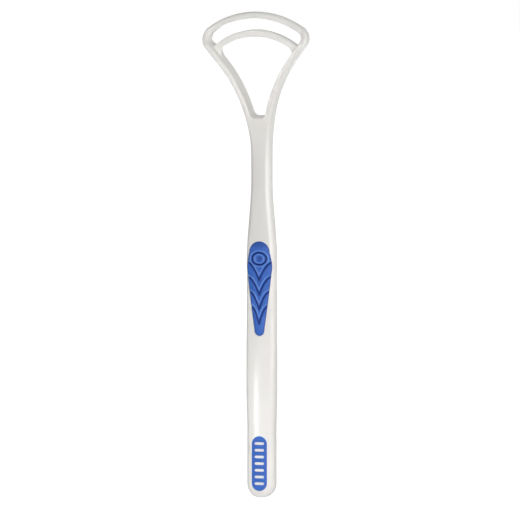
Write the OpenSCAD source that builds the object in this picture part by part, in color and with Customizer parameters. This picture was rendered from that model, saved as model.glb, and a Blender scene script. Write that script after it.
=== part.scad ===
// Tongue scraper: a bowed two-blade head on a flat white handle, with two soft blue inlays.
// It stands upright: the tail is at the bottom, the head at the top, and the thumb side faces -Y.
// Millimetres. A place on the tool is [u, s, w]: u across, s along the middle line from the tail's
// end, and w through the thickness, with the front at -w. The function bent() turns it into x, y, z.

/* [Handle] */
// Height of the whole tool as it stands
overall_len = 170; // [150:1:200]
// Width of the handle just above the round tail end
tail_w = 10.1; // [9:0.1:11]
// Width of the handle at its widest, below the thumb grip
palm_w = 10.8; // [10.2:0.1:12.5]
// Width of the handle beside the broad end of the thumb grip
thumb_w = 10.5; // [10.2:0.1:12]
// Width of the neck at its narrowest
neck_w = 7.1; // [6.6:0.1:8.2]
// Distance from the tail's end to where the tail begins to widen
tail_len = 24; // [22:0.5:28]
// Distance from the tail's end to where the full palm width is reached
palm_start = 38; // [34:0.5:46]
// Length over which the handle narrows to the neck
shoulder_len = 28.5; // [24:0.5:34]
// Thickness of the handle
handle_t = 4.8; // [4.2:0.1:6]
// Height of the crown across the handle's front face
crown = 0.3; // [0.1:0.05:0.5]
// Rounding of the handle's front edges
front_round = 1.5; // [1:0.1:1.8]
// Rounding of the handle's back edges
back_round = 0.9; // [0.5:0.1:1.2]

/* [Neck] */
// Distance from the narrowest place of the neck up to the floor of the notch between the arms
neck_len = 22.3; // [18:0.1:27]
// Length of the bend along the middle line
bend_len = 15; // [12:0.5:18]
// Distance from the end of the bend up to the floor of the notch
notch_rise = 0.3; // [0:0.1:2]
// Angle at which the head leans forward
lean = 10.5; // [6:0.5:16]
// Distance from where the neck begins to flare into the arms up to the floor of the notch
flare_len = 11.3; // [9:0.1:13]
// Radius of the flare's outline
flare_r = 50; // [46:1:56]
// Angle at which the arms stand off the middle line at their straight upper part
flare_angle = 38; // [35:0.5:40]
// Radius in the lower corners of the notch
notch_round = 1.4; // [0.8:0.1:1.7]

/* [Arms] */
// Length of the head from the floor of the notch to the crest of the outer bow's middle line
head_len = 35.9; // [32:0.1:40]
// Width of an arm, seen from the front
arm_w = 2.2; // [1.8:0.1:2.6]
// Depth of an arm through the head
arm_depth = 5.8; // [5:0.1:6.5]
// Outer radius of the head's corners
corner_r = 4.4; // [3.6:0.1:5]
// Rounding of the front edges of the head
head_front_round = 0.55; // [0.3:0.05:0.7]
// Rounding of the back edges of the head
head_back_round = 0.35; // [0.2:0.05:0.38]

/* [Outer bow] */
// Radius of the outer bow's middle line
outer_bow_r = 29.2; // [28:0.1:33]
// Width of the outer bow's front face
outer_bow_w = 2.2; // [1.9:0.1:2.7]
// Depth of the outer bow
outer_bow_depth = 2.6; // [2.2:0.1:4]
// Extra width of the head in its corners, which runs out along the outer bow
corner_web = 0.8; // [0.3:0.1:1.1]
// Width of the outer bow's scraping edge at the back
outer_edge_w = 1.8; // [1.2:0.1:1.9]

/* [Inner bow] */
// Distance between the middle lines of the two bows at the crest
bow_spacing = 6.3; // [6:0.1:8]
// Radius of the inner bow's middle line
inner_bow_r = 22.4; // [21.6:0.2:26]
// Width of the inner bow's front face
inner_bow_w = 2.5; // [1.9:0.1:2.8]
// Width of the inner bow's scraping edge at the back
inner_edge_w = 1.8; // [1:0.1:1.8]
// How far the inner bow sits behind the front of the arms
inner_set_back = 2.6; // [2:0.1:3]
// Radius of the fillets where the inner bow joins the arms
inner_fillet = 2.3; // [1:0.1:2.6]

/* [Thumb grip] */
// Distance from the thumb grip's broad end up to the narrowest place of the neck
grip_below_neck = 21.3; // [18:0.1:25]
// Length of the thumb grip
grip_len = 33.2; // [30:0.2:35]
// Width of the thumb grip at its widest
grip_w = 9.2; // [8.2:0.1:9.6]
// Width of the thumb grip's round narrow end
grip_tip_w = 3.6; // [3:0.1:4.4]
// Radius of the thumb grip's broad end
grip_top_r = 3.8; // [3.2:0.1:4.1]
// Distance of the widest place below the broad end
grip_wide_from_top = 9; // [8:0.2:10]
// Depth of the pocket for the thumb grip
grip_pocket = 1.2; // [0.9:0.05:1.5]
// How far the thumb grip stands proud of the handle
grip_rise = 0.35; // [0.15:0.05:0.6]
// Distance of the oval ring's middle below the broad end
ring_from_top = 6; // [5.6:0.1:6.4]
// Outer width of the oval ring groove
ring_w = 5.9; // [5.2:0.1:6.2]
// Outer height of the oval ring groove
ring_h = 4.9; // [4.2:0.1:5.2]
// Width of the grooves in the thumb grip
groove_w = 0.55; // [0.4:0.05:0.7]
// Depth of the grooves in the thumb grip
groove_depth = 0.5; // [0.3:0.05:0.7]
// Number of curved V grooves
vein_count = 4; // [2:1:4]
// Distance of the first V's point below the broad end
vein_from_top = 13.6; // [13:0.1:14]
// Distance from one V to the next
vein_pitch = 5.1; // [4.6:0.1:5.3]
// Height of a V from its point to its ends
vein_rise = 6.2; // [5.5:0.1:6.6]
// Diameter of the two anchor posts under the thumb grip
post_d = 2.2; // [1.6:0.1:2.6]
// Length of the anchor posts under both inlays
post_len = 1.2; // [0.8:0.1:1.5]

/* [Tail badge] */
// Width of the badge
badge_w = 5.6; // [5:0.1:6.2]
// Length of the badge
badge_len = 19.2; // [17:0.2:19.6]
// Distance from the tail's end to the lower end of the badge
badge_start = 2.4; // [2.2:0.1:3]
// Depth of the pocket for the badge
badge_pocket = 0.9; // [0.6:0.05:1.2]
// Number of white bars that stand through the badge
bar_count = 7; // [3:1:8]
// Length of a bar across the badge
bar_len = 3.4; // [2.6:0.1:3.8]
// Width of a bar
bar_w = 0.9; // [0.6:0.05:1.1]

/* [Hidden] */
white = "whitesmoke";
blue = "royalblue";

// Clearance of an inlay in its pocket, round its posts and round the bars
seat_gap = 0.03;
// Overrun of every cut past the face that it opens
overrun = 1;
// How far the inner bow's raw ends run into the arms, as a share of their width, before the trim
trim_share = 0.5;

// Steps along and round the parts
tail_steps = 8;
shaft_steps = 22;
bend_steps = 9;
corner_steps = 9;
arm_steps = 8;
notch_steps = 4;
bow_steps = 30;
grip_end_steps = 6;
grip_steps = 14;
round_steps = 3;
crown_spots = 3;
vein_steps = 6;
groove_sides = 48;

// Angle from the tail's lowest point up to which its round end is a small flat
tail_flat_angle = 12;
// Shares of the corner turn over which the arm's section becomes the bow's
blend_shares = [0.5, 1];
// Share of the corner turn over which the extra width sets in, and the bow's turn over which it ends
web_share = 0.5;
web_turn = 16;
// Power that gives the thumb grip's lower sides their slight swell
leaf_power = 1.15;
// Power that curves the arms of a V
vein_power = 1.6;
// Share of the handle's crown that is left at the notch
notch_crown_share = 0.3;
// Share of a vein's half width, measured from the grip's own edge
vein_reach_share = 1.02;
// How far the anchor posts are rooted in the thumb grip
post_root = 0.4;
// Places of the anchor posts as shares of the thumb grip's length
post_shares = [0.3, 0.8];

half_t = handle_t / 2;
half_depth = arm_depth / 2;
bend_r = bend_len / (lean * PI / 180);

// The outer bow is flush with the arms' backs, and its front lies behind theirs
outer_front = half_depth - outer_bow_depth;
outer_taper = (outer_bow_w - outer_edge_w) / 2;

// Its section as [inward, through], and how high its top stands over its middle line
outer_section = section(0, outer_bow_w, outer_front, half_depth, head_front_round, head_back_round,
    outer_taper);
crest_rise = max([for (p = outer_section) (outer_bow_w / 2 - p[0]) * cos(lean) + p[1] * sin(lean)]);

// Places along the middle line, counted from the tail's end and worked out from the top down
bend_start = overall_len - crest_rise - bend_r * sin(lean) - (notch_rise + head_len) * cos(lean);
bend_end = bend_start + bend_len;
notch_floor = bend_end + notch_rise;
crest = notch_floor + head_len;
flare_start = notch_floor - flare_len;
neck_start = notch_floor - neck_len;
shoulder_start = neck_start - shoulder_len;
grip_end = neck_start - grip_below_neck;
grip_start = grip_end - grip_len;

// Turns a place on the straightened tool into its place on the bent tool, with the handle about y = 0
function swung(p) =
    let (turn = max(0, min(lean, (p[1] - bend_start) / bend_r * 180 / PI)))
    let (past = max(0, p[1] - bend_end))
    let (low = min(p[1], bend_start))
    [
        p[0],
        (bend_r + p[2]) * cos(turn) - bend_r - past * sin(turn),
        low + (bend_r + p[2]) * sin(turn) + past * cos(turn),
    ];

// The same, moved so that the middle of the whole tool's box is over the origin
function bent(p) = swung(p) + [0, frame_shift, 0];

function smooth(t) = let (c = max(0, min(1, t))) c * c * (3 - 2 * c);
function mix(a, b, t) = a + (b - a) * t;
function unit(angle) = [cos(angle), sin(angle)];

// Distance along dir from p to the circle of radius r about c, on its far side
function reach(p, dir, c, r) =
    let (d = p - c)
    let (along = d * dir)
    -along + sqrt(along * along - d * d + r * r);

// Closed solid through rings of places, all with the same number of places
module loft(rings) {
    m = len(rings[0]);
    n = len(rings);
    sides = [
        for (i = [0 : n - 2], j = [0 : m - 1])
            let (k = (j + 1) % m)
            each [[i * m + j, (i + 1) * m + j, (i + 1) * m + k], [i * m + j, (i + 1) * m + k, i * m + k]]
    ];
    first = [for (j = [0 : m - 1]) j];
    last = [for (j = [m - 1 : -1 : 0]) (n - 1) * m + j];
    polyhedron(points = [for (r = rings, p = r) bent(p)], faces = concat([first], sides, [last]));
}

// Rounded section between [left, right] and [front, back], as [across, through] points.
// The back is narrower than the front by taper on each side. The front is crowned by bulge, with
// that many spots on it between its rounded edges.
function section(left, right, front, back, front_r, back_r, taper = 0, bulge = 0, spots = 0) =
    let (mid = (left + right) / 2, half = (right - left) / 2)
    let (corners = [
        [right - front_r, front + front_r, front_r, 270],
        [right - taper - back_r, back - back_r, back_r, 0],
        [left + taper + back_r, back - back_r, back_r, 90],
        [left + front_r, front + front_r, front_r, 180],
    ])
    let (places = concat(
        [
            for (c = corners, i = [0 : round_steps])
                [c[0], c[1]] + c[2] * unit(c[3] + 90 * i / round_steps)
        ],
        [for (i = [1 : 1 : spots]) [mix(left + front_r, right - front_r, i / (spots + 1)), front]]
    ))
    [
        for (p = places)
            let (off = (p[0] - mid) / half)
            [p[0], p[1] + bulge * off * off * (back - p[1]) / (back - front)]
    ];

// Half width of the handle and neck along the middle line, above the round tail end
function outline_half(s) =
    s > flare_start ? neck_w / 2 + flare_r - sqrt(flare_r * flare_r - pow(s - flare_start, 2))
    : s > shoulder_start
        ? mix(thumb_w, neck_w, smooth((s - shoulder_start) / (neck_start - shoulder_start))) / 2
    : s > grip_start ? mix(palm_w, thumb_w, smooth((s - grip_start) / (shoulder_start - grip_start))) / 2
    : mix(tail_w, palm_w, smooth((s - tail_len) / (palm_start - tail_len))) / 2;

// The round tail end: a half circle with a small flat at its lowest point
tail_r = tail_w / 2;
tail_mid = tail_r * cos(tail_flat_angle);

// How far a rounded edge has drawn in at a distance d from the end
function edge_in(d, r) = d >= r ? 0 : r - sqrt(r * r - (r - d) * (r - d));

function handle_ring(s, half, from_end) = [
    for (p = section(-half, half,
        -half_t + edge_in(from_end, front_round), half_t - edge_in(from_end, back_round),
        min(front_round, half * 0.8), min(back_round, half * 0.6), 0, crown, crown_spots))
        [p[0], s, p[1]]
];

tail_angles = [for (i = [0 : tail_steps]) mix(tail_flat_angle, 90, i / tail_steps)];
shaft_rings = concat(
    [
        for (a = tail_angles)
            handle_ring(tail_mid - tail_r * cos(a), tail_r * sin(a), tail_r * (1 - cos(a)))
    ],
    [
        for (i = [1 : shaft_steps])
            let (s = mix(tail_mid, bend_start, i / shaft_steps))
            handle_ring(s, outline_half(s), tail_r)
    ]
);

// Front face of the handle at a distance u from its middle, where it is as wide as at s
function front_face(u, s) =
    let (half = outline_half(s))
    let (over = max(0, abs(u) - (half - front_round)))
    let (flat = -half_t + front_round - sqrt(max(0, front_round * front_round - over * over)))
    flat + crown * u * u / (half * half) * (half_t - flat) / handle_t;

// A shape drawn across and along the tool, standing from depth w0 to w1 in the straight handle
module through(w0, w1) {
    translate([0, frame_shift + w1, 0])
        rotate([90, 0, 0])
            linear_extrude(w1 - w0)
                children();
}

// The thumb grip's outline: a broad round end, a widest place and a long taper to a round tip
grip_wide = grip_end - grip_wide_from_top;
tip_r = grip_tip_w / 2;

function grip_half(s) =
    s < grip_start + tip_r ? sqrt(max(0, tip_r * tip_r - pow(grip_start + tip_r - s, 2)))
    : s < grip_wide
        ? mix(grip_w / 2, tip_r, pow((grip_wide - s) / (grip_wide - grip_start - tip_r), leaf_power))
    : s < grip_end - grip_top_r
        ? mix(grip_top_r, grip_w / 2,
            sqrt(1 - pow((s - grip_wide) / (grip_end - grip_top_r - grip_wide), 2)))
    : sqrt(max(0, grip_top_r * grip_top_r - pow(s - grip_end + grip_top_r, 2)));

grip_places = concat(
    [for (i = [1 : grip_end_steps]) grip_start + tip_r * (1 - cos(90 * i / grip_end_steps))],
    [for (i = [1 : grip_steps]) mix(grip_start + tip_r, grip_wide, i / grip_steps)],
    [
        for (i = [1 : grip_end_steps])
            mix(grip_wide, grip_end - grip_top_r, sin(90 * i / grip_end_steps))
    ],
    [for (i = [1 : grip_end_steps - 1]) grip_end - grip_top_r * (1 - sin(90 * i / grip_end_steps))]
);

// The outline as a flat shape, grown by gap
module grip_outline(gap) {
    low = [0, grip_start - gap];
    high = [0, grip_end + gap];
    polygon(concat(
        [low],
        [for (s = grip_places) [grip_half(s) + gap, s]],
        [high],
        [for (i = [len(grip_places) - 1 : -1 : 0]) [-grip_half(grip_places[i]) - gap, grip_places[i]]]
    ));
}

module post_places() {
    for (share = post_shares)
        translate([0, grip_start + share * grip_len])
            children();
}

// A pill shape of the badge's length, grown by gap
module badge_outline(gap) {
    ends = [badge_start + badge_w / 2, badge_start + badge_len - badge_w / 2];
    for (s = ends)
        translate([0, s])
            circle(d = badge_w + 2 * gap, $fn = groove_sides);
    translate([-badge_w / 2 - gap, ends[0]])
        square([badge_w + 2 * gap, ends[1] - ends[0]]);
}

// The bars that stand through the badge, grown by gap
bar_pitch = (badge_len - badge_w / 2) / bar_count;
bar_first = badge_start + (badge_len - (bar_count - 1) * bar_pitch) / 2;

module bar_outlines(gap) {
    for (i = [0 : bar_count - 1])
        translate([0, bar_first + i * bar_pitch])
            square([bar_len + 2 * gap, bar_w + 2 * gap], center = true);
}

grip_floor = -half_t + grip_pocket;
badge_floor = -half_t + badge_pocket;

module handle() {
    color(white) {
        difference() {
            loft(shaft_rings);
            through(-half_t - overrun, grip_floor)
                grip_outline(seat_gap);
            through(grip_floor - overrun, grip_floor + post_len + seat_gap)
                post_places()
                    circle(d = post_d + 2 * seat_gap, $fn = groove_sides);
            through(-half_t - overrun, badge_floor)
                difference() {
                    badge_outline(seat_gap);
                    bar_outlines(0);
                }
        }
    }
}

// The neck bends forward and flares, and its section turns into that of the arms
function neck_ring(s) =
    let (t = smooth((s - bend_start) / (notch_floor - bend_start)))
    let (half = outline_half(s), deep = mix(half_t, half_depth, t))
    [
        for (p = section(-half, half, -deep, deep,
            mix(front_round, head_front_round, t), mix(back_round, head_back_round, t),
            0, crown * mix(1, notch_crown_share, t), crown_spots))
            [p[0], s, p[1]]
    ];

neck_rings = [for (i = [0 : bend_steps]) neck_ring(mix(bend_start, notch_floor, i / bend_steps))];

module neck() {
    color(white)
        loft(neck_rings);
}

// Centres in the head's own plane, as [across, along]
flare_mid = [neck_w / 2 + flare_r, flare_start];
outer_mid = [0, crest - outer_bow_r];
inner_mid = [0, crest - bow_spacing - inner_bow_r];
arm_dir = [sin(flare_angle), cos(flare_angle)];
arm_in = [-cos(flare_angle), sin(flare_angle)];
arm_foot = flare_mid + flare_r * arm_in;
outer_rim_r = outer_bow_r + outer_bow_w / 2;
corner_run = reach(arm_foot + corner_r * arm_in, arm_dir, outer_mid, outer_rim_r - corner_r);
corner_mid = arm_foot + corner_r * arm_in + corner_run * arm_dir;
corner_turn = atan2(corner_mid[1] - outer_mid[1], corner_mid[0]);

// The notch's lower corner rolls from its floor onto the inner wall of the arm
inner_flare_r = flare_r + arm_w;
roll_s = notch_floor + notch_round;
roll_angle = asin((roll_s - flare_start) / (inner_flare_r + notch_round));
roll_mid = [flare_mid[0] - (inner_flare_r + notch_round) * cos(roll_angle), roll_s];
floor_angle = asin((notch_floor - flare_start) / flare_r);

function flare_point(r, angle) = flare_mid + r * [-cos(angle), sin(angle)];

// Pairs of outer and inner edge points along an arm, each with its share of the bow's section
arm_edges = concat(
    [
        for (i = [0 : notch_steps])
            let (t = i / notch_steps)
            [
                flare_point(flare_r, mix(floor_angle, roll_angle, t)),
                roll_mid + notch_round * unit(mix(-90, -roll_angle, t)), 0,
            ]
    ],
    [
        for (i = [1 : arm_steps])
            let (a = mix(roll_angle, flare_angle, i / arm_steps))
            [flare_point(flare_r, a), flare_point(inner_flare_r, a), 0]
    ],
    [
        for (i = [0 : corner_steps])
            let (t = i / corner_steps, out = unit(mix(-flare_angle, corner_turn, t)))
            let (blend = smooth((t - blend_shares[0]) / (blend_shares[1] - blend_shares[0])))
            [
                corner_mid + corner_r * out,
                corner_mid + (corner_r - mix(arm_w, outer_bow_w, t)
                    - corner_web * smooth(t / web_share)) * out,
                blend,
            ]
    ]
);

// Ring of the head between an outer and an inner edge point
function head_ring(outer, inner, front, back, taper) =
    let (across = norm(inner - outer), dir = (outer - inner) / across)
    [
        for (p = section(0, across, front, back, head_front_round, head_back_round, taper))
            [inner[0] + p[0] * dir[0], inner[1] + p[0] * dir[1], p[1]]
    ];

arm_rings = [
    for (edge = arm_edges)
        head_ring(edge[0], edge[1], mix(-half_depth, outer_front, edge[2]), half_depth,
            outer_taper * edge[2])
];

outer_rings = [
    for (i = [0 : bow_steps])
        let (a = mix(corner_turn, 180 - corner_turn, i / bow_steps), out = unit(a))
        let (web = corner_web * (1 - smooth((min(a, 180 - a) - corner_turn) / web_turn)))
        head_ring(outer_mid + outer_rim_r * out, outer_mid + (outer_rim_r - outer_bow_w - web) * out,
            outer_front, half_depth, outer_taper)
];

// How far the tool reaches forward and back about the handle's middle plane
reaches = [for (r = concat(neck_rings, arm_rings, outer_rings), p = r) swung(p)[1]];
frame_shift = -(min(reaches) + max(half_t, max(reaches))) / 2;

module right_arm() {
    color(white)
        loft(arm_rings);
}

module left_arm() {
    color(white)
        mirror([1, 0, 0])
            loft(arm_rings);
}

module outer_bow() {
    color(white)
        loft(outer_rings);
}

// The inner bow's raw ends reach into the arms, and are trimmed flush with the arms' inner walls
arm_core = arm_foot + arm_w * trim_share * arm_in;
join_place = arm_core + reach(arm_core, arm_dir, inner_mid, inner_bow_r) * arm_dir;
join_angle = atan2(join_place[1] - inner_mid[1], join_place[0]);
inner_taper = (inner_bow_w - inner_edge_w) / 2;
fillet_turn = inner_fillet / inner_bow_r * 180 / PI;
wall_turn = arm_w * trim_share / inner_bow_r * 180 / PI;

// Growth of the inner bow's half width near the arm's wall, at a turn from the raw end
function fillet_at(turn) =
    let (t = max(0, min(1, (turn - wall_turn) / fillet_turn)))
    inner_fillet * (1 - sqrt(1 - (1 - t) * (1 - t)));

inner_turns = concat(
    [0, wall_turn],
    [for (i = [1 : round_steps * 2]) wall_turn + fillet_turn * (1 - cos(90 * i / (round_steps * 2)))]
);
inner_half_angles = [for (turn = inner_turns) join_angle + turn];
inner_rest = [
    for (i = [1 : bow_steps / 2])
        mix(inner_half_angles[len(inner_half_angles) - 1], 90, i / (bow_steps / 2))
];
inner_right = concat(inner_half_angles, inner_rest);
inner_angles = concat(inner_right, [for (i = [len(inner_right) - 2 : -1 : 0]) 180 - inner_right[i]]);

// The head's own straight frame: x across, y through the thickness, z along from the bend's end
module head_frame() {
    translate(bent([0, bend_end, 0]))
        rotate([lean, 0, 0])
            children();
}

// A block whose face lies on the right arm's inner wall and which reaches outward from it
wall_foot = arm_foot + arm_w * arm_in;

module beyond_arm_wall() {
    head_frame()
        translate([wall_foot[0], -arm_depth, wall_foot[1] - bend_end])
            rotate([0, flare_angle, 0])
                translate([0, 0, -inner_bow_r])
                    cube([inner_bow_r, 2 * arm_depth, 2 * inner_bow_r]);
}

module inner_bow() {
    color(white) {
        difference() {
            loft([
                for (a = inner_angles)
                    let (grow = inner_bow_w / 2 + fillet_at(min(a, 180 - a) - join_angle))
                    let (out = unit(a))
                    head_ring(inner_mid + (inner_bow_r + grow) * out, inner_mid + (inner_bow_r - grow) * out,
                        -half_depth + inner_set_back, half_depth, inner_taper)
            ]);
            for (side = [0, 1])
                mirror([side, 0, 0])
                    beyond_arm_wall();
        }
    }
}

// Crowned top of the thumb grip, a ring for each place along it
function grip_ring(s) =
    let (half = grip_half(s), edge = front_face(half, s))
    let (proud = grip_rise * min(1, half / tip_r))
    [
        each [[-half, s, grip_floor]],
        for (i = [0 : round_steps * 4])
            let (a = 180 - 180 * i / (round_steps * 4))
            [half * cos(a), s, mix(edge, -half_t - proud, sin(a))],
        each [[half, s, grip_floor]],
    ];

module vein(point_s) {
    half = groove_w / 2;
    path = [
        for (i = [0 : vein_steps])
            let (t = i / vein_steps, s = point_s + vein_rise * t)
            [vein_reach_share * grip_half(point_s + vein_rise) * pow(t, vein_power), s]
    ];
    upper = [for (p = path) [p[0], p[1] + half]];
    lower = [for (p = path) [p[0], p[1] - half]];
    polygon(concat(
        [for (i = [vein_steps : -1 : 1]) [-upper[i][0], upper[i][1]]],
        upper,
        [for (i = [vein_steps : -1 : 0]) lower[i]],
        [for (i = [1 : vein_steps]) [-lower[i][0], lower[i][1]]]
    ));
}

module oval(w, h) {
    scale([w / h, 1])
        circle(d = h, $fn = groove_sides);
}

module thumb_grip() {
    color(blue) {
        difference() {
            union() {
                loft([for (s = grip_places) grip_ring(s)]);
                through(grip_floor - post_root, grip_floor + post_len)
                    post_places()
                        circle(d = post_d, $fn = groove_sides);
            }
            through(-half_t - grip_rise - overrun, -half_t - grip_rise + groove_depth) {
                translate([0, grip_end - ring_from_top])
                    difference() {
                        oval(ring_w, ring_h);
                        oval(ring_w - 2 * groove_w, ring_h - 2 * groove_w);
                    }
                for (i = [0 : vein_count - 1])
                    vein(grip_end - vein_from_top - i * vein_pitch);
            }
        }
    }
}

module tail_badge() {
    color(blue)
        through(-half_t, badge_floor)
            difference() {
                badge_outline(0);
                bar_outlines(seat_gap);
            }
}

handle();
neck();
left_arm();
right_arm();
outer_bow();
inner_bow();
thumb_grip();
tail_badge();
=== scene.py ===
"""Looks of the tongue scraper: a seamless white moulding with a soft thumb grip and a soft tail badge.

A place on the tool is (u, s, w) in millimetres: u across, s along the middle line from the tail's end
and w through the thickness, with the front at -w. Each piece is the zero surface of a field over these
places, a distance that is negative inside the piece. Its mesh is bent into the frame, in metres.
"""
import itertools
import math

import bpy
import numpy as np
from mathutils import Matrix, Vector


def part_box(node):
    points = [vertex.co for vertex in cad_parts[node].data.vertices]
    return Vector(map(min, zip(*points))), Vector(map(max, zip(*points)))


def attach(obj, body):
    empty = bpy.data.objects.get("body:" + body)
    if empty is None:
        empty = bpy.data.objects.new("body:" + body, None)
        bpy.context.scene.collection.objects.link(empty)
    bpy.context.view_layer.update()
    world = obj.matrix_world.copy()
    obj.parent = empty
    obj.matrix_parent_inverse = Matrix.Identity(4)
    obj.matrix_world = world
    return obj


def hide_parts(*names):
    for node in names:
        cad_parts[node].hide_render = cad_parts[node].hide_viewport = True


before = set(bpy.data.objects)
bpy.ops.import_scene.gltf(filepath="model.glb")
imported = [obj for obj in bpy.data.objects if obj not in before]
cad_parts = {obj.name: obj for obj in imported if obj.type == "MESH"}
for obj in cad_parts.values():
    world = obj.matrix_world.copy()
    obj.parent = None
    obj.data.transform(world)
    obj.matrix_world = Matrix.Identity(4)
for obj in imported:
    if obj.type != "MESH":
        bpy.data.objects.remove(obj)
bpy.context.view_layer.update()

MM = 0.001


def box_mm(node):
    """Lowest and highest corner of a CAD node, in millimetres"""
    low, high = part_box(node)
    return low / MM, high / MM


# Sizes that the frame gives, in millimetres
handle_low, handle_high = box_mm("handle")
grip_low, grip_high = box_mm("thumb_grip")
badge_low, badge_high = box_mm("tail_badge")
HANDLE_T = handle_high.y - handle_low.y
PALM_W = handle_high.x - handle_low.x
MIDDLE_Y = (handle_high.y + handle_low.y) / 2
BEND_START = handle_high.z
GRIP_START = grip_low.z
GRIP_END = grip_high.z
GRIP_W = grip_high.x - grip_low.x
BADGE_START = badge_low.z
BADGE_END = badge_high.z
BADGE_W = badge_high.x - badge_low.x

# Handle, in millimetres and degrees
TAIL_W = 10.1
TAIL_FLAT_TURN = 12
THUMB_W = 10.5
NECK_W = 7.1
TAIL_LEN = 24
PALM_START = 38
SHOULDER_LEN = 28.5
CROWN = 0.3
FRONT_ROUND = 1.5
BACK_ROUND = 0.9

# Neck and arms, in millimetres and degrees
BEND_LEN = 15
LEAN = 10.5
NOTCH_RISE = 0.3
NECK_LEN = 22.3
FLARE_LEN = 11.3
FLARE_R = 50
FLARE_ANGLE = 38
NOTCH_ROUND = 1.4
HEAD_LEN = 35.9
ARM_W = 2.2
ARM_DEPTH = 5.8
CORNER_R = 4.4
HEAD_OUTER_ROUND = 1.05
HEAD_FRONT_ROUND = 0.45
HEAD_BACK_ROUND = 0.35

# Bows, in millimetres and degrees
OUTER_BOW_R = 29.2
OUTER_BOW_W = 2.2
OUTER_BOW_DEPTH = 2.6
OUTER_EDGE_W = 1.8
CORNER_WEB = 0.8
WEB_TURN = 16
RAMP_LEAD = 2
RAMP_LEN = 10.5
BOW_SPACING = 6.3
INNER_BOW_R = 22.4
INNER_BOW_W = 2.5
INNER_EDGE_W = 1.8
INNER_SET_BACK = 2.6
LOWER_FILLET = 2.6
UPPER_FILLET = 0.6
JOIN_ROUND = 0.4
JOIN_FADE = 1.3
WALL_COVER = 1.0

# Thumb grip, in millimetres
GRIP_TIP_R = 1.8
GRIP_TOP_R = 3.8
GRIP_WIDE_FROM_TOP = 9
GRIP_POCKET = 1.2
GRIP_EDGE_RISE = 0.06
GRIP_RISE = 0.5
GRIP_DOME_W = 3.6
GRIP_EDGE_ROUND = 0.45
RING_FROM_TOP = 6
RING_W = 5.9
RING_H = 4.9
RING_LIP = 0.18
DISH_DEPTH = 0.2
DISH_INSET = 1.0
DISH_EDGE_W = 0.6
GROOVE_W = 0.7
GROOVE_FLOOR = 0.08
GROOVE_DEPTH = 0.5
LIP_W = 0.6
VEIN_FROM_TOP = 13.6
VEIN_PITCH = 5.1
VEIN_RISE = 6.2
VEIN_LIP = 0.18
# Widths over which the painted shade at the leaf's rim and above the ring fades
RIM_SHADE_W = 0.6
TOP_SHADE_W = 1.6

# Thumb grip's counts, shares and power
VEIN_COUNT = 4
VEIN_CURVE = 0.5
VEIN_END = 0.97
LEAF_POWER = 1.15
LEAF_SLOPE_SHARE = 0.98
# Shares of painted shade at the leaf's rim and above the ring
RIM_SHADE = 0.5
TOP_SHADE = 0.38

# Tail badge, in millimetres, and how many bars stand in it
BADGE_POCKET = 0.9
BADGE_RISE = 0.03
BADGE_ROUND = 0.16
BAR_LEN = 3.4
BAR_W = 0.9
BAR_RISE = 0.12
BAR_ROUND = 0.14
BAR_ROOT = 0.3
BAR_COUNT = 7
SEAT_GAP = 0.04

# Grids that the pieces are meshed on, and the pockets' cutters, in millimetres
HEAD_STEP = 0.2
NECK_STEP = 0.5
SHAFT_STEP = 0.9
TAIL_STEP = 0.25
TAIL_FINE_LEN = 7
NECK_FINE_LEN = 8
GRID_REACH = 20
TAIL_MARGIN = 0.6
TOP_MARGIN = 2.4
DEPTH_MARGIN = 0.4
INLAY_STEP = 0.12
INLAY_MARGIN = 2 * INLAY_STEP
CUTTER_RISE = 1

# Meshing counts, and the angle in degrees from which an edge stays crisp
CUTTER_STATIONS = 160
HALVINGS = 24
SHARP_ANGLE = 50

# Stations along the middle line, worked out as in the solids
half_t = HANDLE_T / 2
half_depth = ARM_DEPTH / 2
bend_r = BEND_LEN / math.radians(LEAN)
bend_end = BEND_START + BEND_LEN
notch_floor = bend_end + NOTCH_RISE
crest = notch_floor + HEAD_LEN
flare_start = notch_floor - FLARE_LEN
neck_start = notch_floor - NECK_LEN
shoulder_start = neck_start - SHOULDER_LEN
tail_r = TAIL_W / 2
tail_mid = tail_r * math.cos(math.radians(TAIL_FLAT_TURN))

# Places in the head's own plane, as (across, along)
flare_turn = math.radians(FLARE_ANGLE)
flare_mid = np.array([NECK_W / 2 + FLARE_R, flare_start])
arm_dir = np.array([math.sin(flare_turn), math.cos(flare_turn)])
arm_in = np.array([-math.cos(flare_turn), math.sin(flare_turn)])
arm_foot = flare_mid + FLARE_R * arm_in
outer_mid = np.array([0, crest - OUTER_BOW_R])
inner_mid = np.array([0, crest - BOW_SPACING - INNER_BOW_R])
outer_rim_r = OUTER_BOW_R + OUTER_BOW_W / 2
outer_front = half_depth - OUTER_BOW_DEPTH
inner_front = INNER_SET_BACK - half_depth
corner_line = arm_foot + CORNER_R * arm_in - outer_mid
corner_along = corner_line @ arm_dir
corner_run = -corner_along + math.sqrt(
    corner_along**2 - corner_line @ corner_line + (outer_rim_r - CORNER_R) ** 2
)
corner_mid = outer_mid + corner_line + corner_run * arm_dir
corner_turn = math.atan2(*(corner_mid - outer_mid)[::-1])


def smooth(t):
    """Rises from 0 to 1 without a corner at either end"""
    c = np.clip(t, 0, 1)
    return c * c * (3 - 2 * c)


def mix(a, b, t):
    return a + (b - a) * t


def meet(a, b, r):
    """Field of what is inside both fields, with its outward edge rounded by r"""
    return np.minimum(-r, np.maximum(a, b)) + np.hypot(np.maximum(a + r, 0), np.maximum(b + r, 0))


def join(a, b, r):
    """Field of what is inside either field, with its inward corner filled by r"""
    return np.maximum(r, np.minimum(a, b)) - np.hypot(np.maximum(r - a, 0), np.maximum(r - b, 0))


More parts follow.
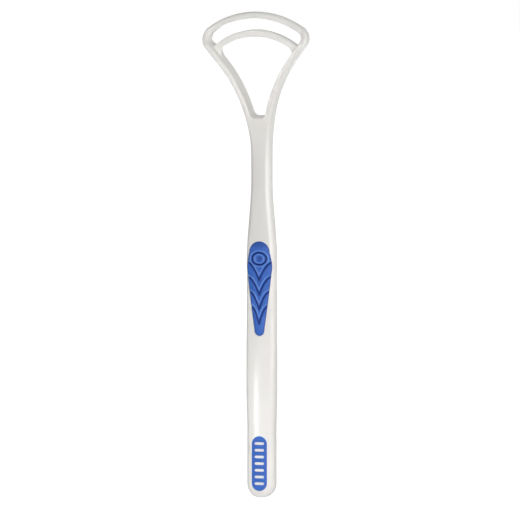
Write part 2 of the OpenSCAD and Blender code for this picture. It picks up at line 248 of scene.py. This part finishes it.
def bend(points):
    """Turns places on the straightened tool into places in the frame, in metres"""
    u, s, w = points.T
    turn = np.clip((s - BEND_START) / bend_r, 0, math.radians(LEAN))
    past = np.maximum(0, s - bend_end)
    low = np.minimum(s, BEND_START)
    y = (bend_r + w) * np.cos(turn) - bend_r - past * np.sin(turn) + MIDDLE_Y
    z = low + (bend_r + w) * np.sin(turn) + past * np.cos(turn)
    return np.stack([u, y, z], axis=1) * MM


def surface_cells(field, us, ss, ws):
    """One point in each cell of the grid that the surface crosses, and the quads between them"""
    value = field(*np.meshgrid(us, ss, ws, indexing="ij"))
    inside = value < 0
    shape = np.array(value.shape) - 1
    corners = list(itertools.product((0, 1), repeat=3))
    filled = sum(
        inside[i : shape[0] + i, j : shape[1] + j, k : shape[2] + k].astype(np.int8)
        for i, j, k in corners
    )
    crossed = (filled > 0) & (filled < len(corners))
    number = np.full(shape, -1)
    number[crossed] = np.arange(crossed.sum())
    cell = np.stack(np.nonzero(crossed), axis=1)
    total = np.zeros(cell.shape)
    hits = np.zeros(len(cell))
    for a, b in itertools.combinations(corners, 2):
        if sum(abs(p - q) for p, q in zip(a, b)) != 1:
            continue
        ends = [cell + a, cell + b]
        values = [value[tuple(e.T)] for e in ends]
        places = [np.stack([g[e[:, n]] for n, g in enumerate((us, ss, ws))], axis=1) for e in ends]
        hit = (values[0] < 0) != (values[1] < 0)
        share = np.where(hit, values[0], 0) / np.where(hit, values[0] - values[1], 1)
        total += np.where(hit[:, None], mix(places[0], places[1], share[:, None]), 0)
        hits += hit
    quads = []
    for axis in range(3):
        order = [(axis + n) % 3 for n in range(3)]
        side = inside.transpose(order)
        cells = number.transpose(order)
        start, end = side[:-1, 1:-1, 1:-1], side[1:, 1:-1, 1:-1]
        i, j, k = np.nonzero(start != end)
        turns = (i, j, k), (i, j + 1, k), (i, j + 1, k + 1), (i, j, k + 1)
        ring = np.stack([cells[turn] for turn in turns], axis=1)
        quads.append(np.where(start[i, j, k][:, None], ring[:, ::-1], ring))
    return total / hits[:, None], np.concatenate(quads)


def join_shared(points, quads):
    """Joins the ends of each edge that more than two faces share, where two sheets touch"""
    pairs = np.sort(np.stack([quads.ravel(), np.roll(quads, -1, axis=1).ravel()], axis=1), axis=1)
    edges, uses = np.unique(pairs, axis=0, return_counts=True)
    group = np.arange(len(points))
    for a, b in edges[uses > 2]:
        group[group == group[b]] = group[a]
    used, numbers = np.unique(group[quads], return_inverse=True)
    return points[used], numbers.reshape(quads.shape)


def settle(points, field, rounds=4):
    """Moves points along the field's slope onto its surface"""
    nudge = 0.004
    furthest = 0.2
    gentlest = 0.5
    for _ in range(rounds):
        slope = np.stack(
            [
                (field(*(points + d).T) - field(*(points - d).T)) / (2 * nudge)
                for d in np.eye(3) * nudge
            ],
            axis=1,
        )
        steep = np.maximum((slope**2).sum(axis=1), gentlest**2)
        step = np.clip(field(*points.T) / steep, -furthest, furthest)
        points = points - step[:, None] * slope
    return points


def even_out(points, quads):
    """Moves points half of the way to the middle of their neighbours"""
    starts = quads.ravel()
    ends = np.roll(quads, -1, axis=1).ravel()
    count = np.bincount(starts, minlength=len(points))
    middle = np.stack(
        [np.bincount(starts, weights=points[ends, n], minlength=len(points)) / count for n in range(3)],
        axis=1,
    )
    return mix(points, middle, 0.5)


def steps(*stations):
    """Grid positions through (place, step) pairs, each step used up to the next place"""
    runs = [
        np.linspace(a, b, max(1, round((b - a) / step)), endpoint=False)
        for (a, step), (b, _) in zip(stations, stations[1:])
    ]
    return np.concatenate(runs + [[stations[-1][0]]])


def even_steps(reach, step):
    """Grid positions that mirror each other about zero, which none of them lies on"""
    return np.linspace(-reach, reach, 2 * round(reach / step))


def new_object(name, points, faces):
    mesh = bpy.data.meshes.new(name)
    mesh.from_pydata(points.tolist(), [], faces)
    mesh.update()
    made = bpy.data.objects.new(name, mesh)
    bpy.context.scene.collection.objects.link(made)
    return made


def field_object(name, field, us, ss, ws, evenings=3):
    """Mesh object on the zero surface of a field"""
    points, quads = join_shared(*surface_cells(field, us, ss, ws))
    points = settle(points, field)
    for _ in range(evenings):
        points = settle(even_out(points, quads), field, rounds=2)
    faces = [[v for n, v in enumerate(quad) if v != quad[n - 1]] for quad in quads.tolist()]
    return new_object(name, bend(points), faces)


# White moulding

def half_width(s):
    """Half width of the handle and neck at a station"""
    wide = mix(TAIL_W, PALM_W, smooth((s - TAIL_LEN) / (PALM_START - TAIL_LEN)))
    wide = np.where(
        s > GRIP_START,
        mix(PALM_W, THUMB_W, smooth((s - GRIP_START) / (shoulder_start - GRIP_START))),
        wide,
    )
    wide = np.where(
        s > shoulder_start,
        mix(THUMB_W, NECK_W, smooth((s - shoulder_start) / SHOULDER_LEN)),
        wide,
    )
    past = np.clip(s - flare_start, 0, FLARE_R)
    return wide / 2 + FLARE_R - np.sqrt(FLARE_R**2 - past**2)


def head_parts(u, s):
    """Distances from the arm's and the bow's outer edges and from the corner's, and the corner's turn"""
    a = np.abs(u)
    along = (a - arm_foot[0]) * arm_dir[0] + (s - arm_foot[1]) * arm_dir[1]
    straight = -(a - arm_foot[0]) * arm_in[0] - (s - arm_foot[1]) * arm_in[1]
    flare = FLARE_R - np.hypot(a - flare_mid[0], s - flare_mid[1])
    arm = np.where(along > 0, straight, flare)
    bow = np.hypot(a, s - outer_mid[1]) - outer_rim_r
    bow = np.where(s > outer_mid[1], bow, -outer_rim_r)
    corner = np.hypot(a - corner_mid[0], s - corner_mid[1]) - CORNER_R
    turn = np.arctan2(s - corner_mid[1], a - corner_mid[0])
    return arm, bow, corner, turn


def silhouette(u, s):
    """Distance from the tool's outer edge, seen from the front"""
    arm, bow, corner, turn = head_parts(u, s)
    in_corner = (turn > -flare_turn) & (turn < corner_turn)
    head = np.where(in_corner, corner, np.maximum(arm, bow))
    handle = np.abs(u) - half_width(s)
    tail = np.hypot(u, s - tail_mid) - tail_r
    return np.where(s > flare_start, head, np.where(s > tail_mid, handle, tail))


def bow_share(u, s):
    """Share of the bow's section at a place in the head, and the web's width there"""
    arm, bow, _, turn = head_parts(u, s)
    share = (turn + flare_turn) / (corner_turn + flare_turn)
    in_corner = (share > 0) & (share < 1)
    bow_turn = np.arctan2(s - outer_mid[1], np.abs(u)) - corner_turn
    arm_run = (np.abs(u) - corner_mid[0]) * arm_dir[0] + (s - corner_mid[1]) * arm_dir[1]
    web = np.where(in_corner, smooth(2 * share), 1 - smooth(np.degrees(bow_turn) / WEB_TURN))
    web = np.where(in_corner | (bow > arm), web, 0)
    corner_len = CORNER_R * (corner_turn + flare_turn)
    path = np.where(bow > arm, corner_len + bow_turn * OUTER_BOW_R, arm_run)
    path = np.where(in_corner, share * corner_len, path)
    blend = smooth((path + RAMP_LEAD) / RAMP_LEN)
    return np.where(s > flare_start, blend, 0), CORNER_WEB * web


def front_height(u, s):
    """Height of the front face of the handle, neck and arms, with its crown"""
    t = smooth((s - BEND_START) / (notch_floor - BEND_START))
    crown = CROWN * (1 - smooth((s - BEND_START) / (notch_floor + NOTCH_ROUND - BEND_START)))
    return -mix(half_t, half_depth, t) + crown * np.clip(u / half_width(s), -1, 1) ** 2


def rounded_layer(walls, front, back, front_round, back_round):
    """What lies within the walls and between the two faces, with both edges rounded"""
    return np.maximum(meet(walls, front, front_round), meet(walls, back, back_round))


def inner_bow(u, s, w, edge, window):
    """The inner bow, with fillets in the window's corners above and below its ends"""
    out = np.hypot(u, s - inner_mid[1]) - INNER_BOW_R
    deep = np.clip((w - inner_front) / (half_depth - inner_front), 0, 1)
    band = np.abs(out) - INNER_BOW_W / 2 + deep * (INNER_BOW_W - INNER_EDGE_W) / 2
    fillet = np.where(out < 0, LOWER_FILLET, UPPER_FILLET)
    filled = join(-window, band, fillet)
    bow = rounded_layer(filled, inner_front - w, w - half_depth, HEAD_FRONT_ROUND, HEAD_BACK_ROUND)
    bow = np.maximum(bow, edge + WALL_COVER)
    bow = bow + JOIN_ROUND * smooth((np.abs(out) - (INNER_BOW_W + fillet) / 2) / JOIN_FADE)
    bow = np.maximum(bow, np.abs(out) - INNER_BOW_W / 2 - LOWER_FILLET)
    return np.where(s > arm_foot[1] - LOWER_FILLET, bow, LOWER_FILLET)


def moulding(u, s, w):
    """The white moulding without its pockets and bars"""
    t = smooth((s - BEND_START) / (notch_floor - BEND_START))
    edge = silhouette(u, s)
    blend, web = bow_share(u, s)
    front_w = mix(front_height(u, s), outer_front, blend)
    back_w = mix(half_t, half_depth, t)
    through = np.clip((w - front_w) / (back_w - front_w), 0, 1)
    taper = blend * through * (OUTER_BOW_W - OUTER_EDGE_W) / 2
    window = meet(notch_floor - s, edge + ARM_W + web * through, NOTCH_ROUND)
    front = front_w - w
    back = w - back_w
    outside = rounded_layer(
        edge + taper, front, back,
        mix(FRONT_ROUND, HEAD_OUTER_ROUND, t), mix(BACK_ROUND, HEAD_BACK_ROUND, t),
    )
    inside = rounded_layer(taper - window, front, back, HEAD_FRONT_ROUND, HEAD_BACK_ROUND)
    loop = np.maximum(np.maximum(outside, inside), -s)
    return np.maximum(join(loop, inner_bow(u, s, w, edge, window), JOIN_ROUND), w - back_w)


def make_moulding():
    us = even_steps(GRID_REACH, HEAD_STEP)
    ss = steps(
        (-TAIL_MARGIN, TAIL_STEP), (TAIL_FINE_LEN, SHAFT_STEP),
        (flare_start - NECK_FINE_LEN, NECK_STEP), (flare_start, HEAD_STEP), (crest + TOP_MARGIN, 0),
    )
    ws = even_steps(half_depth + DEPTH_MARGIN, HEAD_STEP)
    return field_object("white_moulding", moulding, us, ss, ws)


# Thumb grip

def grip_half(s):
    """Half width of the thumb grip's leaf shape at a station, without its round ends"""
    wide_s = GRIP_END - GRIP_WIDE_FROM_TOP
    below = np.clip((wide_s - s) / (wide_s - GRIP_START - GRIP_TIP_R), 0, 1)
    above = np.clip((s - wide_s) / (GRIP_WIDE_FROM_TOP - GRIP_TOP_R), 0, 1)
    lower = mix(GRIP_W / 2, GRIP_TIP_R, below**LEAF_POWER)
    return np.where(s < wide_s, lower, mix(GRIP_TOP_R, GRIP_W / 2, np.cos(above * math.pi / 2)))


def leaf(u, s):
    """Distance from the leaf shape's edge"""
    tip = np.hypot(u, s - GRIP_START - GRIP_TIP_R) - GRIP_TIP_R
    top = np.hypot(u, s - GRIP_END + GRIP_TOP_R) - GRIP_TOP_R
    side = (np.abs(u) - grip_half(s)) * LEAF_SLOPE_SHARE
    return np.where(s < GRIP_START + GRIP_TIP_R, tip, np.where(s > GRIP_END - GRIP_TOP_R, top, side))


def groove(d):
    """Depth of a groove at a distance from its middle line"""
    return GROOVE_DEPTH * (1 - smooth((np.abs(d) - GROOVE_FLOOR) / (GROOVE_W / 2)))


def lip(d):
    """Raised rim beside a groove, at a distance from its middle line"""
    return np.exp(-(((d - GROOVE_W) / (LIP_W / 2)) ** 2))


def vein_distance(u, s, tip_s):
    """Distance from a V with its point at tip_s, whose arms curve outwards; negative above it"""
    reach = grip_half(tip_s + VEIN_RISE)
    t = np.clip((s - tip_s) / VEIN_RISE, 0, VEIN_END)
    upright = np.sqrt(1 - t**2)
    slope = reach / VEIN_RISE * mix(1, t / upright, VEIN_CURVE)
    arm = reach * mix(t, 1 - upright, VEIN_CURVE) + slope * (s - tip_s - t * VEIN_RISE)
    beside = (np.abs(u) - arm) / np.hypot(1, slope)
    return np.where(s > tip_s, beside, np.hypot(u, s - tip_s))


def ring_distance(u, s):
    """Distance from the oval ring groove's middle line, negative inside it"""
    half_w = (RING_W - GROOVE_W) / 2
    half_h = (RING_H - GROOVE_W) / 2
    return (np.hypot(u / half_w, (s - GRIP_END + RING_FROM_TOP) / half_h) - 1) * (half_w + half_h) / 2


def grip_relief(u, s):
    """How far the thumb grip's face is cut back at a place by its grooves"""
    ring = ring_distance(u, s)
    cut = np.maximum(groove(ring), DISH_DEPTH * smooth((-ring - DISH_INSET) / DISH_EDGE_W))
    rise = RING_LIP * np.maximum(lip(ring), lip(-ring))
    for n in range(VEIN_COUNT):
        vein = vein_distance(u, s, GRIP_END - VEIN_FROM_TOP - n * VEIN_PITCH)
        cut = np.maximum(cut, groove(vein))
        rise = np.maximum(rise, VEIN_LIP * lip(-vein) * smooth(ring / GROOVE_W))
    return cut - rise * (1 - cut / GROOVE_DEPTH)


def thumb_grip(u, s, w):
    """The thumb grip, domed between its edge and its middle"""
    edge = leaf(u, s)
    dome = 1 - (1 - np.clip(-edge / GRIP_DOME_W, 0, 1)) ** 2
    face = front_height(u, s) - mix(GRIP_EDGE_RISE, GRIP_RISE - VEIN_LIP, dome) + grip_relief(u, s)
    solid = meet(edge, face - w, GRIP_EDGE_ROUND)
    return np.maximum(solid, w - (GRIP_POCKET - SEAT_GAP - half_t))


def make_thumb_grip():
    us = even_steps(GRIP_W / 2 + INLAY_MARGIN, INLAY_STEP)
    ss = steps((GRIP_START - INLAY_MARGIN, INLAY_STEP), (GRIP_END + INLAY_MARGIN, 0))
    ws = steps((-half_t - GRIP_RISE - INLAY_MARGIN, INLAY_STEP), (GRIP_POCKET - half_t + INLAY_STEP, 0))
    return field_object("soft_thumb_grip", thumb_grip, us, ss, ws, evenings=2)


# Tail badge

def pill(u, s, half, low, high):
    """Distance from the edge of a shape with round ends"""
    return np.hypot(u, s - np.clip(s, low + half, high - half)) - half


def bar_distance(u, s):
    """Distance from the nearest of the bars that stand in the badge"""
    pitch = (BADGE_END - BADGE_START - BADGE_W / 2) / BAR_COUNT
    first = (BADGE_START + BADGE_END - (BAR_COUNT - 1) * pitch) / 2
    nearest = first + pitch * np.clip(np.round((s - first) / pitch), 0, BAR_COUNT - 1)
    half = BAR_W / 2
    past = np.abs(u) - BAR_LEN / 2 + half
    return np.hypot(np.maximum(past, 0), s - nearest) - half


def tail_badge(u, s, w):
    """The badge, with slots that the bars stand in"""
    edge = pill(u, s, BADGE_W / 2, BADGE_START, BADGE_END)
    face = front_height(u, s) - BADGE_RISE - w
    solid = meet(edge, face, BADGE_ROUND)
    slots = meet(SEAT_GAP - bar_distance(u, s), face, BADGE_ROUND / 2)
    return np.maximum(np.maximum(solid, slots), w - (BADGE_POCKET - SEAT_GAP - half_t))


def badge_bars(u, s, w):
    """The bars, with their roots in the floor of the badge's pocket"""
    face = front_height(u, s) - BAR_RISE - w
    return np.maximum(meet(bar_distance(u, s), face, BAR_ROUND), w - (BADGE_POCKET + BAR_ROOT - half_t))


def badge_grid(floor):
    """Grid round the badge, down to just under a floor"""
    us = even_steps(BADGE_W / 2 + INLAY_MARGIN, INLAY_STEP)
    ss = steps((BADGE_START - INLAY_MARGIN, INLAY_STEP), (BADGE_END + INLAY_MARGIN, 0))
    ws = steps((-half_t - BAR_RISE - INLAY_MARGIN, INLAY_STEP), (floor + INLAY_MARGIN, 0))
    return us, ss, ws


def make_tail_badge():
    return field_object("soft_tail_badge", tail_badge, *badge_grid(BADGE_POCKET - half_t), evenings=2)


# Pockets and bars of the moulding

def half_outline(s, distance):
    """Half width at which a field of u and s is zero, found by halving"""
    low, high = np.zeros(len(s)), np.full(len(s), PALM_W / 2)
    for _ in range(HALVINGS):
        middle = (low + high) / 2
        within = distance(middle, s) < 0
        low, high = np.where(within, middle, low), np.where(within, high, middle)
    return low


def pocket_cutter(name, distance, low_s, high_s, floor):
    """Prism through the handle's front, down to the floor of a pocket"""
    turn = np.linspace(0, math.pi, CUTTER_STATIONS)[1:-1]
    s = mix(low_s, high_s, (1 - np.cos(turn)) / 2)
    half = half_outline(s, distance)
    across = np.concatenate([half, -half[::-1]])
    along = np.concatenate([s, s[::-1]])
    count = len(across)
    levels = [-half_t - 2 * CROWN - CUTTER_RISE, floor]
    rings = [np.stack([across, along, np.full(count, level)], axis=1) for level in levels]
    sides = [[n, count + n, count + (n + 1) % count, (n + 1) % count] for n in range(count)]
    faces = sides + [list(range(count)), list(range(count, 2 * count))[::-1]]
    return new_object(name, bend(np.concatenate(rings)), faces)


def change_by(target, other, operation):
    """Applies an exact boolean to the target and removes the other mesh"""
    boolean = target.modifiers.new("boolean", "BOOLEAN")
    boolean.operation = operation
    boolean.solver = "EXACT"
    boolean.object = other
    graph = bpy.context.evaluated_depsgraph_get()
    changed = bpy.data.meshes.new_from_object(target.evaluated_get(graph))
    target.modifiers.clear()
    target.data = changed
    bpy.data.objects.remove(other)


def make_body():
    """The white moulding with its pockets cut and its bars added"""
    made = make_moulding()
    grip_pocket = pocket_cutter(
        "grip_pocket", lambda u, s: leaf(u, s) - SEAT_GAP,
        GRIP_START - SEAT_GAP, GRIP_END + SEAT_GAP, GRIP_POCKET - half_t,
    )
    badge_pocket = pocket_cutter(
        "badge_pocket", lambda u, s: pill(u, s, BADGE_W / 2, BADGE_START, BADGE_END) - SEAT_GAP,
        BADGE_START - SEAT_GAP, BADGE_END + SEAT_GAP, BADGE_POCKET - half_t,
    )
    change_by(made, grip_pocket, "DIFFERENCE")
    change_by(made, badge_pocket, "DIFFERENCE")
    bar_floor = BADGE_POCKET + BAR_ROOT - half_t
    bars = field_object("badge_bars", badge_bars, *badge_grid(bar_floor), evenings=2)
    change_by(made, bars, "UNION")
    return made


def dress(piece, slot_name, *nodes):
    """Smooth shading with crisp cut edges, and the piece's place in the frame"""
    piece.data.polygons.foreach_set("use_smooth", [True] * len(piece.data.polygons))
    piece.data.set_sharp_from_angle(angle=math.radians(SHARP_ANGLE))
    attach(piece, "root")
    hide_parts(*nodes)
    return piece


white_nodes = ("handle", "neck", "left_arm", "right_arm", "outer_bow", "inner_bow")
body = dress(make_body(), "white_plastic", *white_nodes)
grip = dress(make_thumb_grip(), "soft_blue", "thumb_grip")
badge = dress(make_tail_badge(), "soft_blue", "tail_badge")

# Materials: colours are linear, noise scales count per metre and bump depths are in millimetres

WHITE_LOW = (0.815, 0.797, 0.762)
WHITE_HIGH = (0.835, 0.82, 0.79)
WHITE_SPECK = (0.80, 0.782, 0.745)
WHITE_ROUGHNESS = (0.1, 0.14)
WHITE_IOR = 1.49
FLOW_SCALE = 55
SPECK_SCALE = 1900
GLOSS_SCALE = 240
WAVE_SCALE = 320
WAVE_DEPTH = 0.06
PORE_SCALE = 2600
PORE_DEPTH = 0.01

BLUE_LOW = (0.032, 0.117, 0.47)
BLUE_HIGH = (0.044, 0.141, 0.53)
BLUE_GRAIN = (0.07, 0.19, 0.62)
# Painted highlight: paler blue on the lips beside the grooves
BLUE_PAINTED_HIGHLIGHT = (0.14, 0.30, 0.75)
# Painted shade: darker blue in the grooves, at the leaf's rim and above the ring
BLUE_PAINTED_SHADE = (0.008, 0.034, 0.215)
BLUE_ROUGHNESS = (0.38, 0.52)
BLUE_IOR = 1.5
CLOUD_SCALE = 160
GRAIN_SCALE = 4200
GRAIN_DEPTH = 0.03
SATIN_SCALE = 900
DIMPLE_SCALE = 700
DIMPLE_DEPTH = 0.08

SPECULAR_LEVEL = 0.3


class Nodes:
    """A material's nodes, added and joined by name"""

    def __init__(self, name):
        self.material = bpy.data.materials.new(name)
        self.material.use_nodes = True
        self.tree = self.material.node_tree
        self.shader = self.tree.nodes["Principled BSDF"]
        self.place = self.add("ShaderNodeTexCoord").outputs["Object"]

    def add(self, kind, **settings):
        node = self.tree.nodes.new(kind)
        for key, value in settings.items():
            setattr(node, key, value)
        return node

    def link(self, start, end):
        self.tree.links.new(start, end)

    def noise(self, scale, detail=3, roughness=0.5):
        node = self.add("ShaderNodeTexNoise")
        node.inputs["Scale"].default_value = scale
        node.inputs["Detail"].default_value = detail
        node.inputs["Roughness"].default_value = roughness
        self.link(self.place, node.inputs["Vector"])
        return node.outputs["Fac"]

    def spread(self, value, low, high, to_low=0, to_high=1):
        """Maps a value from one range to another"""
        node = self.add("ShaderNodeMapRange", clamp=True)
        ends = {"From Min": low, "From Max": high, "To Min": to_low, "To Max": to_high}
        for key, number in ends.items():
            node.inputs[key].default_value = number
        self.link(value, node.inputs["Value"])
        return node.outputs["Result"]

    def blend(self, value, first, second):
        """Colour between two colours or colour outputs"""
        node = self.add("ShaderNodeMix", data_type="RGBA")
        self.link(value, node.inputs["Factor"])
        for key, colour in (("A", first), ("B", second)):
            socket = [s for s in node.inputs if s.name == key and s.type == "RGBA"][0]
            if isinstance(colour, tuple):
                socket.default_value = (*colour, 1)
            else:
                self.link(colour, socket)
        return [s for s in node.outputs if s.type == "RGBA"][0]

    def bumps(self, *layers):
        """Stacked bump layers, each (height output, strength, depth in millimetres)"""
        normal = None
        for height, strength, depth in layers:
            node = self.add("ShaderNodeBump")
            node.inputs["Strength"].default_value = strength
            node.inputs["Distance"].default_value = depth * MM
            self.link(height, node.inputs["Height"])
            if normal:
                self.link(normal, node.inputs["Normal"])
            normal = node.outputs["Normal"]
        self.link(normal, self.shader.inputs["Normal"])

    def shade(self, **values):
        for key, value in values.items():
            self.shader.inputs[key.replace("_", " ")].default_value = value


def white_plastic():
    """Glossy white plastic with faint flow marks, a slightly uneven gloss and a fine ripple"""
    made = Nodes("white_plastic")
    flow = made.spread(made.noise(FLOW_SCALE, 4, 0.55), 0.35, 0.65)
    speck = made.spread(made.noise(SPECK_SCALE, 2), 0.62, 0.75)
    gloss = made.spread(made.noise(GLOSS_SCALE, 5, 0.6), 0.3, 0.7, *WHITE_ROUGHNESS)
    tone = made.blend(flow, WHITE_LOW, WHITE_HIGH)
    made.link(made.blend(speck, tone, WHITE_SPECK), made.shader.inputs["Base Color"])
    made.link(gloss, made.shader.inputs["Roughness"])
    made.bumps(
        (made.noise(WAVE_SCALE, 3), 0.03, WAVE_DEPTH),
        (made.noise(PORE_SCALE, 2), 0.04, PORE_DEPTH),
    )
    made.shade(IOR=WHITE_IOR, Specular_IOR_Level=SPECULAR_LEVEL)
    return made.material


def soft_blue():
    """Satin blue elastomer with a fine moulded grain, painted shade in the grooves, at the rim and above
    the ring, and a painted highlight on the lips
    """
    made = Nodes("soft_blue")
    cloud = made.spread(made.noise(CLOUD_SCALE, 4, 0.6), 0.3, 0.7)
    grain = made.spread(made.noise(GRAIN_SCALE, 3, 0.6), 0.3, 0.7)
    satin = made.spread(made.noise(SATIN_SCALE, 3), 0.3, 0.7, *BLUE_ROUGHNESS)
    painted_shade_share = made.add("ShaderNodeAttribute", attribute_name="cut").outputs["Fac"]
    painted_highlight_share = made.add("ShaderNodeAttribute", attribute_name="lip").outputs["Fac"]
    tone = made.blend(cloud, BLUE_LOW, BLUE_HIGH)
    tone = made.blend(made.spread(grain, 0.55, 1, 0, 0.5), tone, BLUE_GRAIN)
    # Painted highlight: paler blue on the lips beside the grooves
    tone = made.blend(made.spread(painted_highlight_share, 0.15, 1, 0, 0.8), tone, BLUE_PAINTED_HIGHLIGHT)
    # Painted shade: darker blue in the grooves, at the leaf's rim and above the ring
    tone = made.blend(made.spread(painted_shade_share, 0.1, 0.8), tone, BLUE_PAINTED_SHADE)
    made.link(tone, made.shader.inputs["Base Color"])
    made.link(satin, made.shader.inputs["Roughness"])
    made.bumps(
        (made.noise(DIMPLE_SCALE, 3), 0.15, DIMPLE_DEPTH),
        (made.noise(GRAIN_SCALE, 3, 0.6), 0.35, GRAIN_DEPTH),
    )
    made.shade(IOR=BLUE_IOR, Specular_IOR_Level=SPECULAR_LEVEL)
    return made.material


def store_painted_shade_and_highlight(piece):
    """Stores for the thumb grip's colour how deep in a groove each point lies, which is painted as
    shade, and how high on a lip, which is painted as a highlight

    The leaf's rim and its top above the ring count as slightly cut, so that they get painted shade too.
    """
    places = np.empty(len(piece.data.vertices) * 3)
    piece.data.vertices.foreach_get("co", places)
    u, _, s = places.reshape(-1, 3).T / MM
    relief = grip_relief(u, s)
    # Painted shade at the leaf's rim and over the top above the ring, given as a share of the cut
    rim = RIM_SHADE * smooth(1 + leaf(u, s) / RIM_SHADE_W)
    above_ring = s - GRIP_END + RING_FROM_TOP - RING_H / 2 - LIP_W
    shade = np.maximum(rim, TOP_SHADE * smooth(above_ring / TOP_SHADE_W))
    # The cut share drives the painted shade and the lip share the painted highlight
    for name, share in (("cut", np.maximum(relief / GROOVE_DEPTH, shade)), ("lip", -relief / VEIN_LIP)):
        stored = piece.data.attributes.new(name, "FLOAT", "POINT")
        stored.data.foreach_set("value", np.clip(share, 0, 1).astype(np.float32))


white = white_plastic()
blue = soft_blue()
store_painted_shade_and_highlight(grip)
for piece, finish in ((body, white), (grip, blue), (badge, blue)):
    piece.data.materials.clear()
    piece.data.materials.append(finish)
    piece.data.polygons.foreach_set("material_index", [0] * len(piece.data.polygons))

# Camera, at the photograph's angle and far away. Lengths are in metres, the sensor in millimetres

CAMERA_AZIMUTH = math.radians(20.5)
CAMERA_ELEVATION = math.radians(3)
CAMERA_FAR = 3.0
FRAME_W = 0.1814
AIM_ACROSS = 0.00066
AIM_HEIGHT = 0.08331
SENSOR_W = 36


def towards(azimuth, elevation):
    """Direction from the tool to a place at an azimuth and an elevation, in radians"""
    flat = math.cos(elevation)
    return Vector((math.sin(azimuth) * flat, -math.cos(azimuth) * flat, math.sin(elevation)))


def add_camera():
    aim = AIM_ACROSS * towards(CAMERA_AZIMUTH + math.pi / 2, 0) + Vector((0, 0, AIM_HEIGHT))
    to_camera = towards(CAMERA_AZIMUTH, CAMERA_ELEVATION)
    camera = bpy.data.objects.new("camera", bpy.data.cameras.new("camera"))
    bpy.context.scene.collection.objects.link(camera)
    camera.data.sensor_width = SENSOR_W
    camera.data.lens = SENSOR_W * CAMERA_FAR / FRAME_W
    camera.location = aim + CAMERA_FAR * to_camera
    camera.rotation_euler = to_camera.to_track_quat("Z", "Y").to_euler()
    bpy.context.scene.camera = camera


# Studio light: a plain pale room, a broad key by the camera, a strip at the right and a fill behind.
# Four small lamps with narrow beams, named side, low, streak and head, brighten single places on it

# Name, azimuth and elevation in degrees, distance, width and height in metres, radiance,
# height in metres of the place that it faces, and the beam's spread in degrees
LAMPS = (
    ("key", 28, 6.6, 1.2, 1.5, 0.4, 5.6, AIM_HEIGHT, 180),
    ("strip", 82, 0, 1.0, 0.12, 0.2, 8.0, 0.135, 180),
    ("side", 100, 25, 1.0, 0.05, 0.05, 0.8, 0.11, 10),
    ("low", 20, 35, 1.0, 0.05, 0.05, 0.68, 0.02, 8),
    ("streak", -23.3, -3, 0.25, 0.01, 0.02, 0.28, 0.025, 14),
    ("head", -45, 0, 1.0, 0.1, 0.01, 0.85, 0.146, 3.4),
)

# Kept out of reflections, where it would brighten the tool's edges
BACK_FILL = ("back_fill", 200.5, 5, 1.5, 0.6, 0.3, 20.0, AIM_HEIGHT, 180)

# Strength of the room's light on the tool
ROOM_LIGHT = 0.13

# The floor's half size in metres, its grey, its glow and its roughness
FLOOR_HALF = 6.0
FLOOR_TONE = 0.8
FLOOR_GLOW = 0.85
FLOOR_ROUGHNESS = 0.6


def add_lamp(name, azimuth, elevation, distance, width, height, radiance, aim_height, spread):
    """Rectangular lamp that faces a place on the tool's axis"""
    data = bpy.data.lights.new(name, "AREA")
    data.shape = "RECTANGLE"
    data.size = width
    data.size_y = height
    data.energy = radiance * width * height * math.pi
    data.spread = math.radians(spread)
    lamp = bpy.data.objects.new(name, data)
    direction = towards(math.radians(azimuth), math.radians(elevation))
    lamp.location = Vector((0, 0, aim_height)) + distance * direction
    lamp.rotation_euler = direction.to_track_quat("Z", "Y").to_euler()
    bpy.context.scene.collection.objects.link(lamp)
    return lamp


def seen_share(tree):
    """1 for rays from the camera, a mirror or glass, and 0 for the light that falls on surfaces"""
    rays = tree.nodes.new("ShaderNodeLightPath")
    total = rays.outputs["Is Camera Ray"]
    for other in ("Is Glossy Ray", "Is Transmission Ray"):
        both = tree.nodes.new("ShaderNodeMath")
        both.operation = "MAXIMUM"
        tree.links.new(total, both.inputs[0])
        tree.links.new(rays.outputs[other], both.inputs[1])
        total = both.outputs[0]
    return total


def add_room():
    """Room that looks white and lights the tool by its own, lower strength"""
    world = bpy.data.worlds.new("studio")
    world.use_nodes = True
    tree = world.node_tree
    strength = tree.nodes.new("ShaderNodeMapRange")
    strength.inputs["To Min"].default_value = ROOM_LIGHT
    strength.inputs["To Max"].default_value = 1
    tree.links.new(seen_share(tree), strength.inputs["Value"])
    tree.nodes["Background"].inputs["Color"].default_value = (1, 1, 1, 1)
    tree.links.new(strength.outputs["Result"], tree.nodes["Background"].inputs["Strength"])
    bpy.context.scene.world = world


def add_floor():
    """Pale floor whose own glow makes it white to the camera, and that keeps the tool's shadow"""
    corners = np.array([[-1, -1, 0], [1, -1, 0], [1, 1, 0], [-1, 1, 0]]) * FLOOR_HALF
    floor = new_object("floor", corners, [[0, 1, 2, 3]])
    material = bpy.data.materials.new("floor")
    material.use_nodes = True
    tree = material.node_tree
    shader = tree.nodes["Principled BSDF"]
    shader.inputs["Base Color"].default_value = (FLOOR_TONE, FLOOR_TONE, FLOOR_TONE, 1)
    shader.inputs["Roughness"].default_value = FLOOR_ROUGHNESS
    shader.inputs["Emission Color"].default_value = (1, 1, 1, 1)
    glow = tree.nodes.new("ShaderNodeMath")
    glow.operation = "MULTIPLY"
    glow.inputs[1].default_value = FLOOR_GLOW
    tree.links.new(seen_share(tree), glow.inputs[0])
    tree.links.new(glow.outputs[0], shader.inputs["Emission Strength"])
    floor.data.materials.append(material)


add_camera()
add_room()
add_floor()
for lamp in LAMPS:
    add_lamp(*lamp)
add_lamp(*BACK_FILL).visible_glossy = False
bpy.context.scene.view_settings.view_transform = "Standard"
